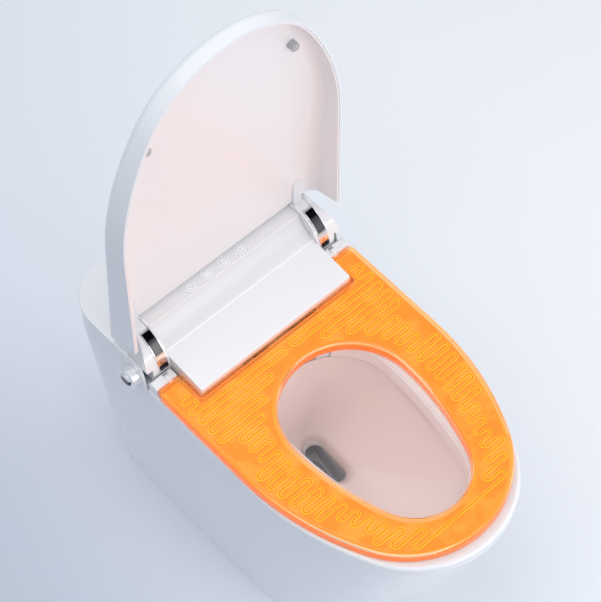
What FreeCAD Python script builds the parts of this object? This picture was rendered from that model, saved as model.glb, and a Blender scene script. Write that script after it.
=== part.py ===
"""Smart toilet with a heated seat: one-piece ceramic, open lid, translucent heated seat.

Frame: origin at the centre of the waste outlet on the floor, +Z up, front towards -Y.
All sizes are in millimetres.
"""
import FreeCAD, Part
import math
import os
import re

import Sketcher

V = FreeCAD.Vector
X_AXIS, Y_AXIS, Z_AXIS = V(1, 0, 0), V(0, 1, 0), V(0, 0, 1)
SIDES = (("left", -1), ("right", 1))

os.makedirs("parts", exist_ok=True)
doc = FreeCAD.newDocument("HeatedSeatToilet")
sheet = doc.addObject("Spreadsheet::Sheet", "Sizes")

# ---------------------------------------------------------------- driving sizes
SIZES = """
# ceramic: plan outlines at the floor and at the rim
foot_half 157
foot_front 256
foot_rear 222
foot_nose 150
foot_corner 30
rim_half 190
rim_front 412
body_rear 289
rim_nose 156
rear_corner 72
shoulder_y -115
body_bulge 0.05
rim_top 404
rim_edge 5
rim_band 18
rear_top 439.2
step_front 92
step_rear 146
step_floor 386.7
ceramic_wall 13
hollow_top 360
# bowl, well and trapway
bowl_half 98
bowl_rear -10
bowl_front 347
bowl_wall 11
bowl_nose 0.78
well_half 15.5
well_rear -45
well_front 123
well_top 188
well_floor 118
trap_bore 22
trap_half_wide 20
trap_wall 10
weir_y 22
weir_z 205
outlet_bore 45
outlet_depth 60
outlet_wall 14
seal_height 13.4
seal_width 16
# service bay in the rear of the ceramic
bay_half 150
bay_front 112
bay_rear 262
bay_corner 18
nozzle_bay_half 62
nozzle_bay_front -18
nozzle_bay_rear 106
nozzle_bay_floor 372
# general clearances
gap 0.3
fitting_gap 0.6
running_gap 0.1
panel_gap 0.4
# rear top unit
chassis_plate 3.7
chassis_front 27
chassis_neck_half 138
chassis_half 176
chassis_rear 270
chassis_corner 52
cover_half 144.5
cover_front 25
cover_front_top 435.7
fold_y 104
fold_top 443.7
band_front_y 138
band_front_top 474.5
band_rear_y 163
band_rear_top 472
hump_rear 166
cover_wall 3
sweep_sag 4.5
key_radius 10.8
key_pitch 32.6
key_shift -8
key_thick 1.2
key_proud 0.15
deck_top 443.5
deck_thick 4
deck_edge 1.8
deck_front_y 106
# hinge humps at both ends of the cover
hump_centre_y 148
hump_centre_z 428
hump_radius 56
hump_end_z 473
hump_inner 144.9
hump_outer 190.5
trim_inner 149
trim_outer 166
trim_thick 3
trim_end_y 130.2
trim_foot_z 428
trim_foot_proud 0.6
rib_drop 1.2
shoulder_lip 1.6
panel_thick 4
# lid, drawn closed and then swung open
lid_axis_y 141.2
lid_axis_z 470.8
lid_open_angle 90.73
lid_half 197
lid_front 406
lid_nose 158
lid_wall 3.7
lid_edge_z 433.6
lid_top_rear 498.5
lid_top_front 464
lid_end_low_y 117
lid_end_high_y 137
lid_round 14
lid_step 8
liner_skin 2.4
liner_drop 6
liner_round 18
arm_bar_z 482.8
arm_bar_front 84
arm_gap 0.5
knuckle_radius 9.3
lid_damper_radius 5.5
lid_pin_radius 4
bumper_radius 7
bumper_x 128
bumper_y 276
bumper_length 12
bumper_chamfer 1.5
# seat, down on the rim
seat_half 190
seat_front 397
seat_nose 158
seat_rear 71.5
seat_corner 9
seat_base_z 408.2
seat_cover_z 409
seat_top 428
seat_round 8
seat_hole_half 105
seat_hole_rear -29
seat_hole_front 342
seat_hole_round 6
notch_half 147
notch_front 22.6
notch_corner 5
seat_wall 3.6
seat_roof 4
seat_base_thick 3
foil_thick 0.6
foil_inset 5
wire_width 2.2
wire_thick 1.1
wire_pitch 10.15
wire_first_y 37
wire_side_margin 13.5
wire_pad_margin 36
wire_nose_margin 28
wire_hole_margin 20
wire_lead_x 157
wire_centre_gap 6
seat_bumper_radius 9
seat_axis_y 80
seat_axis_z 418
seat_knuckle 7.5
seat_damper_radius 4.8
seat_pin_radius 3.5
lug_inner 158
lug_outer 166
block_inner 150
block_outer 188
block_front 72.8
block_rear 90.5
block_top 424.5
block_round 4
# side knob with its push button
knob_y 122
knob_z 413
knob_radius 18
knob_depth 15
knob_round 2.2
button_radius 10.6
button_proud 2.2
button_travel 2.5
knob_hub_radius 6
plunger_radius 2.6
encoder_half 8.5
encoder_depth 8
# wash wand, warm-air duct and fan
wand_slope 18
wand_x -24
wand_mouth_y 4
wand_mouth_z 389.5
wand_radius 6
wand_length 148
wand_tip 14
shield_half 9.6
shield_thick 2
guide_half 10
guide_length 158
duct_x 58
duct_half_wide 17
duct_half_high 10
duct_wall 2
duct_length 92.4
flap_thick 2
flap_pin_radius 1.2
flap_ear 2
fan_x 78
fan_y 126
fan_case_radius 31
fan_case_wall 2
fan_case_height 29
wheel_radius 25
wheel_height 15
wheel_blades 12
motor_radius 11
motor_shaft 1.5
# modules behind and below the cover
heater_long 62
heater_wide 46
heater_high 26
board_long 160
board_wide 78
board_thick 1.8
filter_long 62
filter_wide 66
filter_high 25
tank_half 114
tank_front 122
tank_rear 212
tank_floor 205
tank_wall 3
pump_radius 28
pump_high 46
valve_radius 15
valve_long 54
inlet_x -118
inlet_z 150
inlet_radius 10.5
inlet_thread 16
gland_x 118
gland_z 150
gland_radius 8
"""

known = []
row = 0
for line in SIZES.strip().splitlines():
    row += 1
    if line.startswith("#"):
        sheet.set(f"A{row}", line.lstrip("# "))
        continue
    word, number = line.split()
    sheet.set(f"A{row}", word)
    sheet.set(f"B{row}", number)
    sheet.setAlias(f"B{row}", word)
    known.append(word)
doc.recompute()

WORD = re.compile(r"\b(" + "|".join(sorted(known, key=len, reverse=True)) + r")\b")


def linked(text):
    """The expression with each size named in the sheet."""
    return WORD.sub(r"Sizes.\1", str(text))


def size(text):
    """The present value of an expression in the sheet's sizes."""
    return float(sheet.evalExpression(str(text)))


# ---------------------------------------------------------------- document helpers
NODES = []


def node(feature, label):
    feature.Label = label
    NODES.append(feature)
    return feature


def shaped(label, shape, placement=None):
    """A sub-part whose form is worked out below from the sheet's sizes."""
    feature = doc.addObject("Part::Feature", "shape_" + label)
    feature.Shape = shape.removeSplitter()
    if placement is not None:
        feature.Placement = placement
    return node(feature, label)


def new_body(label):
    return node(doc.addObject("PartDesign::Body", "body_" + label), label)


def sketch_on(body, role, height="0"):
    """A sketch on one of the body's origin planes, raised along its normal."""
    plane = [face for face in body.Origin.OriginFeatures if face.Role == role][0]
    sketch = body.newObject("Sketcher::SketchObject", f"sketch_{len(doc.Objects)}")
    sketch.AttachmentSupport = [(plane, "")]
    sketch.MapMode = "FlatFace"
    sketch.setExpression("AttachmentOffset.Base.z", linked(height))
    return sketch


def locate(sketch, geometry, point, across, up):
    """Ties one point of a sketch element to the sheet."""
    for kind, text in (("DistanceX", across), ("DistanceY", up)):
        rule = sketch.addConstraint(Sketcher.Constraint(kind, -1, 1, geometry, point, size(text)))
        sketch.setExpression(f"Constraints[{rule}]", linked(text))


def outline(sketch, corners):
    """A closed outline of straight lines through corners given as expressions."""
    first = sketch.GeometryCount
    places = [V(size(across), size(up), 0) for across, up in corners]
    count = len(places)
    for index in range(count):
        sketch.addGeometry(Part.LineSegment(places[index], places[(index + 1) % count]), False)
    for index in range(count):
        after = first + (index + 1) % count
        sketch.addConstraint(Sketcher.Constraint("Coincident", first + index, 2, after, 1))
    for index, (across, up) in enumerate(corners):
        locate(sketch, first + index, 1, across, up)


def ring(sketch, across, up, radius):
    """A circle tied to the sheet."""
    circle = Part.Circle(V(size(across), size(up), 0), V(0, 0, 1), size(radius))
    index = sketch.addGeometry(circle, False)
    locate(sketch, index, 3, across, up)
    rule = sketch.addConstraint(Sketcher.Constraint("Radius", index, size(radius)))
    sketch.setExpression(f"Constraints[{rule}]", linked(radius))


def pad(body, sketch, length, midplane=False, backwards=False):
    feature = body.newObject("PartDesign::Pad", f"pad_{len(doc.Objects)}")
    feature.Profile = sketch
    feature.setExpression("Length", linked(length))
    feature.Midplane = midplane
    feature.Reversed = backwards
    return feature


def pocket(body, sketch, length, backwards=False):
    """A cut that must take material away."""
    doc.recompute()
    before = body.Shape.Volume
    feature = body.newObject("PartDesign::Pocket", f"pocket_{len(doc.Objects)}")
    feature.Profile = sketch
    feature.setExpression("Length", linked(length))
    feature.Midplane = True
    feature.Reversed = backwards
    doc.recompute()
    assert body.Shape.Volume < before - 1e-3, f"{body.Label}: the pocket cuts nothing"
    return feature


def revolve(body, sketch, axis="V_Axis"):
    feature = body.newObject("PartDesign::Revolution", f"revolution_{len(doc.Objects)}")
    feature.Profile = sketch
    feature.ReferenceAxis = (sketch, [axis])
    feature.Angle = 360
    return feature


def place(feature, x="0", y="0", z="0"):
    for letter, text in zip("xyz", (x, y, z)):
        feature.setExpression(f"Placement.Base.{letter}", linked(text))
    return feature


def cylinder(name, radius, height, x, y, z, axis=Z_AXIS):
    feature = doc.addObject("Part::Cylinder", name)
    feature.Placement = FreeCAD.Placement(V(), FreeCAD.Rotation(Z_AXIS, axis))
    feature.setExpression("Radius", linked(radius))
    feature.setExpression("Height", linked(height))
    return place(feature, x, y, z)


def block(name, length, width, height, x, y, z):
    feature = doc.addObject("Part::Box", name)
    feature.setExpression("Length", linked(length))
    feature.setExpression("Width", linked(width))
    feature.setExpression("Height", linked(height))
    return place(feature, x, y, z)


def joined(label, pieces):
    feature = doc.addObject("Part::MultiFuse", "fused_" + label)
    feature.Shapes = pieces
    feature.Refine = True
    return node(feature, label)


# ---------------------------------------------------------------- plan outlines
def arc(start, middle, end):
    return Part.Arc(start, middle, end).toShape()


def nose_curve(half, front, nose, shoulder, level):
    """The right half of an egg-shaped front: a side arc that runs into a nose arc."""
    nose = min(nose, 0.97 * half)
    centre = front + nose
    drop = shoulder - centre
    side = (half**2 + drop**2 - nose**2) / (2 * (half - nose))
    away = V(side - half, centre - shoulder, 0)
    away.normalize()
    meet = V(half - side + side * away.x, shoulder + side * away.y, level)
    middle_angle = 0.5 * math.atan2(away.y, away.x)
    middle = V(half - side + side * math.cos(middle_angle), shoulder + side * math.sin(middle_angle), level)
    return middle, meet


def mirrored(point):
    return V(-point.x, point.y, point.z)


def egg_wire(half, rear, front, nose, shoulder, corner, level):
    """Straight rear, rounded rear corners, straight sides and an egg-shaped front."""
    middle, meet = nose_curve(half, front, nose, shoulder, level)
    slack = corner * (1 - math.sqrt(0.5))
    side = V(half, shoulder, level)
    high = V(half, rear - corner, level)
    turn = V(half - slack, rear - slack, level)
    back = V(half - corner, rear, level)
    tip = V(0, front, level)
    return Part.Wire([
        Part.makeLine(mirrored(back), back),
        arc(back, turn, high),
        Part.makeLine(high, side),
        arc(side, middle, meet),
        arc(meet, tip, mirrored(meet)),
        arc(mirrored(meet), mirrored(middle), mirrored(side)),
        Part.makeLine(mirrored(side), mirrored(high)),
        arc(mirrored(high), mirrored(turn), mirrored(back)),
    ])


def oval_wire(half, rear, front, nose, level):
    """Round rear of the full half width and a narrower egg-shaped front."""
    shoulder = rear - half
    middle, meet = nose_curve(half, front, nose, shoulder, level)
    side = V(half, shoulder, level)
    return Part.Wire([
        arc(mirrored(side), V(0, rear, level), side),
        arc(side, middle, meet),
        arc(meet, V(0, front, level), mirrored(meet)),
        arc(mirrored(meet), mirrored(middle), mirrored(side)),
    ])


def facetted(wire, count):
    """A closed polygon through evenly spaced points of an outline."""
    places = wire.discretize(Number=count + 1)
    return Part.makePolygon(places[:-1] + places[:1])


def prism(wire, height):
    return Part.Face(wire).extrude(V(0, 0, height))


def box(x0, x1, y0, y1, z0, z1):
    return Part.makeBox(x1 - x0, y1 - y0, z1 - z0, V(x0, y0, z0))


def rounded_box(x0, x1, y0, y1, z0, z1, radius):
    """A box with its upright edges rounded."""
    solid = box(x0, x1, y0, y1, z0, z1)
    upright = [edge for edge in solid.Edges if abs(edge.tangentAt(edge.FirstParameter).z) > 0.99]
    return solid.makeFillet(radius, upright)


def edges_at(solid, level):
    """The edges that lie at one height."""
    return [edge for edge in solid.Edges
            if abs(edge.BoundBox.ZMin - level) < 1e-4 and abs(edge.BoundBox.ZMax - level) < 1e-4]


def extrude_x(points, x0, x1):
    """A prism along X over an outline given as (y, z) points."""
    corners = [V(x0, y, z) for y, z in points]
    return Part.Face(Part.makePolygon(corners + corners[:1])).extrude(V(x1 - x0, 0, 0))


def reflected(solid):
    return solid.mirror(V(), X_AXIS)


# ---------------------------------------------------------------- ceramic body
# One vitreous casting: tapering skirt, rim, bowl, well, trapway and the open bay
# at the rear that takes the water and electrical modules.
def body_wire(share, inset, level):
    """Plan of the skirt; share is 0 at the floor and 1 at the rim."""
    swell = share + size("body_bulge") * math.sin(math.pi * share)

    def between(low, high):
        return size(low) + (size(high) - size(low)) * swell

    half = between("foot_half", "rim_half") - inset
    rear = between("foot_rear", "body_rear") - inset
    front = -between("foot_front", "rim_front") + inset
    nose = between("foot_nose", "rim_nose") - inset
    corner = max(between("foot_corner", "rear_corner") - inset, 5)
    shoulder = size("shoulder_y") * (0.8 + 0.2 * share)
    return egg_wire(half, rear, front, nose, shoulder, corner, level)


def rim_wire(inset, level):
    return egg_wire(size("rim_half") - inset, size("body_rear") - inset, inset - size("rim_front"),
                    size("rim_nose") - inset, size("shoulder_y"), size("rear_corner") - inset, level)


def bowl_wire(share, grow, level):
    """Plan of the bowl; share is 0 at the well and 1 at the rim."""
    half = size("well_half") + (size("bowl_half") - size("well_half")) * share + grow
    rear = size("well_rear") + (size("bowl_rear") - size("well_rear")) * share**0.6 + grow
    front = size("well_front") + (size("bowl_front") - size("well_front")) * share**1.08 + grow
    nose = half * (0.93 + (size("bowl_nose") - 0.93) * share)
    return oval_wire(half, rear, -front, nose, level)


BOWL_STEPS = ((0, 0), (0.32, 0.13), (0.72, 0.4), (0.94, 0.68), (0.985, 0.86), (1, 1.02))


def bowl_solid(grow, steps, facets=0):
    """The bowl's hollow, or with grow its outside, over the well of the same plan."""
    rise = size("rim_top - well_top")
    low = size("well_top") - grow
    floor = size("well_floor") - grow
    wires = [bowl_wire(share, grow, low + rise * height) for share, height in steps]
    foot = bowl_wire(0, grow, floor)
    if facets:
        wires = [facetted(wire, facets) for wire in wires]
        foot = facetted(foot, facets)
    return Part.makeLoft(wires, True, True).fuse(Part.makeLoft([foot, wires[0]], True, True))


def trap_solid(grow):
    """The siphon: up from the well over the weir and down to the outlet."""
    middle_y = 0.5 * size("well_rear - well_front")
    path = Part.makePolygon([V(0, middle_y, size("well_floor + trap_bore")),
                             V(0, size("weir_y"), size("weir_z")),
                             V(0, 0, size("outlet_depth"))])
    section = path.makeOffset2D(size("trap_bore") + grow, 0, True)
    half = size("trap_half_wide") + grow
    section.translate(V(-half, 0, 0))
    return section.extrude(V(2 * half, 0, 0))


def ceramic_body():
    rim_low = size("rim_top - rim_band")
    levels = [index / 4 for index in range(5)]
    skirt = Part.makeLoft([body_wire(share, 0, rim_low * share) for share in levels], True, False)
    rim = prism(rim_wire(0, rim_low), size("rim_band"))
    rim = rim.makeFillet(size("rim_edge"), edges_at(rim, size("rim_top")))
    rear = prism(rim_wire(0, rim_low), size("rear_top") - rim_low)
    rear = rear.common(box(-400, 400, size("step_rear"), 400, rim_low, size("rear_top") + 1))
    outside = skirt.fuse([rim, rear])

    wall = size("ceramic_wall")
    hollow_top = size("hollow_top")
    share_top = hollow_top / rim_low
    inside = Part.makeLoft([facetted(body_wire(share * share_top, wall, hollow_top * share), 30)
                            for share in (0, 0.5, 1)], True, True)
    bay = rounded_box(-size("bay_half"), size("bay_half"), size("bay_front"), size("bay_rear"),
                      hollow_top - 1, size("rear_top") + 1, size("bay_corner"))
    nozzle_bay = box(-size("nozzle_bay_half"), size("nozzle_bay_half") + size("duct_half_wide"),
                     size("nozzle_bay_front"), size("nozzle_bay_rear"),
                     size("nozzle_bay_floor"), size("rim_top") + 1)
    shell = outside.cut([inside, bay])

    bowl = bowl_solid(size("bowl_wall"), BOWL_STEPS[:-1], 20)
    trap = trap_solid(size("trap_wall"))
    socket = Part.makeCylinder(size("outlet_bore + outlet_wall"), size("outlet_depth"),
                               V(0, 0, size("seal_height + gap")))
    core = bowl.fuse([trap, socket])
    body = shell.fuse(core)

    outlet = Part.makeCylinder(size("outlet_bore"), size("outlet_depth") + 1, V(0, 0, -1))
    cutters = [bowl_solid(0, BOWL_STEPS), trap_solid(0), outlet, nozzle_bay]
    top_bay = prism(rim_wire(wall, size("rim_top")), 60).common(box(-400, 400, size("step_front"), 400, 0, 500))
    cutters.append(top_bay)
    for name, side in SIDES:
        edge = size("rim_half - panel_thick - panel_gap")
        step = box(edge, 400, size("step_front"), size("step_rear"), size("step_floor"), 500)
        cutters.append(step if side > 0 else reflected(step))
    for across, height, radius in (("inlet_x", "inlet_z", "inlet_radius + 3 + fitting_gap"),
                                   ("gland_x", "gland_z", "gland_radius + fitting_gap")):
        cutters.append(Part.makeCylinder(size(radius), 200, V(size(across), 150, size(height)), Y_AXIS))
    return body.cut(cutters)


shaped("ceramic_body", ceramic_body())

# The wax ring that seals the outlet to the soil pipe.
seal = new_body("outlet_seal")
profile = sketch_on(seal, "XZ_Plane")
outline(profile, [("outlet_bore + 1", "0"), ("outlet_bore + 1 + seal_width", "0"),
                  ("outlet_bore + seal_width - 2", "seal_height"), ("outlet_bore + 1", "seal_height")])
revolve(seal, profile)

# ---------------------------------------------------------------- rear top unit
# The chassis is a moulded tray on the ceramic; everything electrical stands on it.
chassis_z = "rim_top + gap"
chassis_top = "rim_top + gap + chassis_plate"
chassis = new_body("chassis")
plan = sketch_on(chassis, "XY_Plane", chassis_z)
outline(plan, [("-chassis_half", "step_front"), ("-chassis_neck_half", "step_front"),
               ("-chassis_neck_half", "chassis_front"), ("chassis_neck_half", "chassis_front"),
               ("chassis_neck_half", "step_front"), ("chassis_half", "step_front"),
               ("chassis_half", "chassis_rear - chassis_corner"),
               ("chassis_half - 0.3 * chassis_corner", "chassis_rear - 0.34 * chassis_corner"),
               ("chassis_half - chassis_corner", "chassis_rear"),
               ("chassis_corner - chassis_half", "chassis_rear"),
               ("0.3 * chassis_corner - chassis_half", "chassis_rear - 0.34 * chassis_corner"),
               ("-chassis_half", "chassis_rear - chassis_corner")])
pad(chassis, plan, "chassis_plate")
window = sketch_on(chassis, "XY_Plane", chassis_z)
for middle, half, rear in (("wand_x", "guide_half", "nozzle_bay_rear"),
                           ("duct_x", "duct_half_wide", "nozzle_bay_rear - 6")):
    outline(window, [(f"{middle} - {half} - gap", "chassis_front - 5"),
                     (f"{middle} + {half} + gap", "chassis_front - 5"),
                     (f"{middle} + {half} + gap", rear), (f"{middle} - {half} - gap", rear)])
pocket(chassis, window, "4 * chassis_plate")

# The rear deck is the flat moulded top behind the lid, with a thin rounded edge.
def rear_deck():
    top, thick = size("deck_top"), size("deck_thick")
    plate = prism(egg_wire(size("rim_half + 1"), size("body_rear + 1"), -size("rim_front"), size("rim_nose"),
                           size("shoulder_y"), size("rear_corner + 1"), top - thick), thick)
    plate = plate.makeFillet(size("deck_edge"), edges_at(plate, top))
    clear = size("panel_gap")
    rear = box(-400, 400, size("hump_rear") + clear, 400, 0, 500)
    deck = plate.common(rear)
    rim = size("ceramic_wall") + 2
    skirt = prism(rim_wire(rim, top - thick - 6), 6)
    inner = prism(rim_wire(rim + 2.5, top - thick - 7), 8)
    return deck.fuse(skirt.cut(inner).common(rear))


shaped("rear_deck", rear_deck())


# The centre cover runs from the front panel over a crease and a hollow sweep up to
# the flat band that carries the touch keys.
def cover_outline(inset):
    bottom = size(chassis_top) + size("gap") - (1 if inset else 0)
    front = size("cover_front") + inset
    rear = size("hump_rear") - inset
    fold = V(0, size("fold_y"), size("fold_top") - inset)
    foot = V(0, size("band_front_y") + inset * 0.4, size("band_front_top") - inset)
    middle = (fold + foot) * 0.5
    sag = V(0, 0.65, -0.76) * size("sweep_sag")
    edges = [
        Part.makeLine(V(0, front, bottom), V(0, front, size("cover_front_top") - inset)),
        Part.makeLine(V(0, front, size("cover_front_top") - inset), fold),
        arc(fold, middle + sag, foot),
        Part.makeLine(foot, V(0, size("band_rear_y") - inset, size("band_rear_top") - inset)),
        Part.makeLine(V(0, size("band_rear_y") - inset, size("band_rear_top") - inset),
                      V(0, rear, size("band_rear_top") - inset - 3)),
        Part.makeLine(V(0, rear, size("band_rear_top") - inset - 3), V(0, rear, bottom)),
        Part.makeLine(V(0, rear, bottom), V(0, front, bottom)),
    ]
    return Part.Wire(edges)


def key_places():
    """Middle of each touch key and the band's slope."""
    run = size("band_rear_y - band_front_y")
    fall = size("band_front_top - band_rear_top")
    slope = math.atan2(fall, run)
    middle_y = size("band_front_y") + 0.5 * run
    middle_z = size("band_front_top") - 0.5 * fall
    return [V(size("key_shift") + (index - 1.5) * size("key_pitch"), middle_y, middle_z)
            for index in range(4)], slope


def key_discs(radius, low, high):
    places, slope = key_places()
    normal = V(0, math.sin(slope), math.cos(slope))
    return [Part.makeCylinder(radius, high - low, place + normal * low, normal) for place in places]


def centre_cover():
    half, wall = size("cover_half"), size("cover_wall")
    outside = Part.Face(cover_outline(0)).extrude(V(2 * half, 0, 0))
    outside.translate(V(-half, 0, 0))
    top = size("cover_front_top")
    rounded = [edge for edge in outside.Edges
               if edge.BoundBox.YMax < size("cover_front") + 1e-3 and edge.BoundBox.ZMax > top - 1e-3]
    outside = outside.makeFillet(2.2, rounded)
    inside = Part.Face(cover_outline(wall)).extrude(V(2 * (half - wall), 0, 0))
    inside.translate(V(wall - half, 0, 0))
    pockets = key_discs(size("key_radius + gap"), -size("key_thick + gap"), 5)
    return outside.cut(inside).cut(pockets)


shaped("centre_cover", centre_cover())
shaped("touch_keys", Part.makeCompound(key_discs(size("key_radius"), -size("key_thick"), size("key_proud"))))


# Hinge humps: a quarter round in side view that falls away to the deck's edge.
def hump_arc(radius, from_z, to_y):
    """Points of the quarter round: the start on the front, a middle one and the end."""
    centre = V(0, size("hump_centre_y"), size("hump_centre_z"))
    start_angle = math.pi - math.asin((from_z - centre.z) / radius)
    end_angle = math.acos((to_y - centre.y) / radius)
    places = []
    for angle in (start_angle, 0.5 * (start_angle + end_angle), end_angle):
        places.append(centre + V(0, radius * math.cos(angle), radius * math.sin(angle)))
    return places


def hump_profile(radius, bottom):
    start, middle, end = hump_arc(radius, size("hump_centre_z"), size("hump_centre_y"))
    rear = size("hump_rear")
    corners = [end, V(0, rear, size("hump_end_z")), V(0, rear, bottom), V(0, start.y, bottom), start]
    edges = [arc(start, middle, end)]
    edges += [Part.makeLine(a, b) for a, b in zip(corners[:-1], corners[1:])]
    return Part.Face(Part.Wire(edges))


def side_face(z_low):
    """Outline seen from the front: upright inside, shoulder falling to the outside."""
    inner, outer = size("hump_inner"), size("hump_outer")
    crest = size("trim_outer")
    top = size("hump_centre_z + hump_radius") + 1
    lip = size("deck_top") + size("shoulder_lip")
    knee = V(outer - size("panel_thick"), 0, lip)
    high = V(crest, 0, top)
    bend = V(crest + 0.62 * (knee.x - crest), 0, knee.z + 0.62 * (top - knee.z))
    corners = [V(inner, 0, z_low), V(inner, 0, top), high]
    edges = [Part.makeLine(a, b) for a, b in zip(corners[:-1], corners[1:])]
    edges.append(arc(high, bend, knee))
    lower = [knee, V(knee.x, 0, z_low), V(inner, 0, z_low)]
    edges += [Part.makeLine(a, b) for a, b in zip(lower[:-1], lower[1:])]
    return Part.Face(Part.Wire(edges))


def hinge_housing():
    bottom = size(chassis_top) + size("gap")
    radius = size("hump_radius - rib_drop")
    long = hump_profile(radius, bottom).extrude(V(size("hump_outer - hump_inner"), 0, 0))
    long.translate(V(size("hump_inner"), 0, 0))
    across = side_face(bottom).extrude(V(0, size("hump_rear"), 0))
    solid = long.common(across)
    foot_clear = box(size("rim_half - ceramic_wall - 2 * gap"), 400, 0, 400, 0,
                     size("deck_top - deck_thick + gap"))
    solid = solid.cut(foot_clear)
    inner, outer = size("trim_inner"), size("trim_outer")
    channel = hump_profile(size("hump_radius - trim_thick - gap"), 0)
    band = box(inner - size("gap"), outer + size("gap"), 0, size("hump_rear") - 5,
               size("trim_foot_z") - size("gap"), 600)
    kept = channel.extrude(V(60, 0, 0))
    kept.translate(V(inner - 10, 0, 0))
    solid = solid.cut(band.cut(kept))
    slot = box(inner + 0.2, outer - 0.2, size("trim_end_y") + size("gap"), 400,
               size("lid_axis_z - knuckle_radius - 2"), 600)
    pin = Part.makeCylinder(size("lid_pin_radius + 0.05"), 40,
                            V(inner - 3.5, size("lid_axis_y"), size("lid_axis_z")), X_AXIS)
    stay = box(outer + 6, 400, 0, 400, 0, 600)
    return solid.cut([slot, pin.cut(stay)])


def side_panel(with_bore):
    """The upright panel below the hump, with its slanted front end."""
    low, high = size("step_floor + gap"), size("deck_top - deck_thick - gap")
    front, rear = size("step_front + panel_gap"), size("step_rear - panel_gap")
    lean = size("deck_front_y - step_front")
    top = size("deck_top")
    start = size("hump_outer - panel_thick") + 0.2
    corners = [(front, low), (rear, low), (rear, high), (size("hump_rear"), high),
               (size("hump_rear"), top), (front + lean, top)]
    solid = extrude_x(corners, start, size("rim_half"))
    outer = [edge for edge in solid.Edges if edge.BoundBox.XMin > size("rim_half") - 1e-3
             and edge.BoundBox.ZMax > top - 1e-3]
    solid = solid.makeFillet(1.4, outer)
    if with_bore:
        bore = Part.makeCylinder(size("knob_hub_radius + gap"), 20,
                                 V(start - 5, size("knob_y"), size("knob_z")), X_AXIS)
        solid = solid.cut(bore)
    return solid


def hinge_trim():
    """The chrome strip bent over the hump, with its squared foot."""
    outer_radius = size("hump_radius")
    inner_radius = size("hump_radius - trim_thick")
    foot, end = size("trim_foot_z"), size("trim_end_y")
    outside = hump_arc(outer_radius, foot, end)
    inside = hump_arc(inner_radius, foot, end)
    edges = [arc(*outside), Part.makeLine(outside[2], inside[2]), arc(*inside),
             Part.makeLine(inside[0], outside[0])]
    strip = Part.Face(Part.Wire(edges)).extrude(V(size("trim_outer - trim_inner"), 0, 0))
    strip.translate(V(size("trim_inner"), 0, 0))
    foot_block = box(size("trim_inner"), size("trim_outer"), outside[0].y - size("trim_foot_proud"), inside[0].y, foot, foot + 7)
    return strip.fuse(foot_block)


def seat_hinge_block():
    """The block behind each ear of the seat; its slot takes the seat's knuckle."""
    low = size(chassis_z)
    solid = box(size("block_inner"), size("block_outer"), size("block_front"), size("block_rear"),
                low, size("block_top"))
    rounded = [edge for edge in solid.Edges if edge.BoundBox.XLength > 5 and edge.BoundBox.ZMin > low + 1]
    solid = solid.makeFillet(size("block_round"), rounded)
    slot = box(size("lug_inner - gap"), size("lug_outer + gap"), 0, size("seat_axis_y + seat_knuckle") + 1,
               low - 1, 500)
    bore = Part.makeCylinder(size("seat_pin_radius + 0.05"), 26,
                             V(size("lug_inner") - 6, size("seat_axis_y"), size("seat_axis_z")), X_AXIS)
    return solid.cut([slot, bore])


def damper(inner, outer, radius, pin_radius, reach, y, z):
    """A soft-close cartridge inside a knuckle, its pins in the walls beside it."""
    barrel = Part.makeCylinder(radius, outer - inner, V(inner, y, z), X_AXIS)
    pin = Part.makeCylinder(pin_radius, outer - inner + 2 * reach, V(inner - reach, y, z), X_AXIS)
    return barrel.fuse(pin)


def lid_damper():
    return damper(size("trim_inner + 1.2"), size("trim_outer - 1.2"), size("lid_damper_radius"),
                  size("lid_pin_radius"), 4.5, size("lid_axis_y"), size("lid_axis_z"))


def seat_damper():
    return damper(size("lug_inner + 0.2"), size("lug_outer - 0.2"), size("seat_damper_radius"),
                  size("seat_pin_radius"), 5.5, size("seat_axis_y"), size("seat_axis_z"))


for name, side in SIDES:
    pieces = (("hinge_housing", hinge_housing()), ("side_panel", side_panel(side < 0)),
              ("hinge_trim", hinge_trim()), ("seat_hinge_block", seat_hinge_block()),
              ("lid_damper", lid_damper()), ("seat_damper", seat_damper()))
    for label, solid in pieces:
        shaped(f"{label}_{name}", solid if side > 0 else reflected(solid))

# ---------------------------------------------------------------- lid
# Drawn closed over the seat and swung open about its hinge line.
lid_axis = V(0, size("lid_axis_y"), size("lid_axis_z"))
lid_open = FreeCAD.Placement(V(), FreeCAD.Rotation(X_AXIS, -size("lid_open_angle")), lid_axis)


def lid_form(inset, drop, low):
    """A closed egg-shaped cap under a roof that falls to the front."""
    rear = size("lid_end_high_y") + 40
    plan = egg_wire(size("lid_half") - inset, rear, inset - size("lid_front"), size("lid_nose") - inset,
                    -100, 5, low)
    solid = prism(plan, 120)
    rear_top, front_top = size("lid_top_rear") - drop, size("lid_top_front") - drop
    slope = (rear_top - front_top) / (size("lid_end_high_y") + size("lid_front"))
    far = size("lid_front") + 60
    back = rear + 10
    roof = [(-far, front_top - slope * 60), (back, rear_top + slope * (back - size("lid_end_high_y"))),
            (back, 700), (-far, 700)]
    return solid.cut(extrude_x(roof, -400, 400))


def roof_edges(solid, low):
    """The upper edges of a cap, without those that lie across its rear."""
    rear = size("lid_end_high_y") + 38
    return [edge for edge in solid.Edges
            if edge.BoundBox.ZMin > low + 8 and edge.BoundBox.YMax < rear + 1
            and edge.BoundBox.ZMax - edge.BoundBox.ZMin < 60 and not upright_edge(edge)]


def upright_edge(edge):
    return abs(edge.tangentAt(edge.FirstParameter).z) > 0.9


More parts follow.
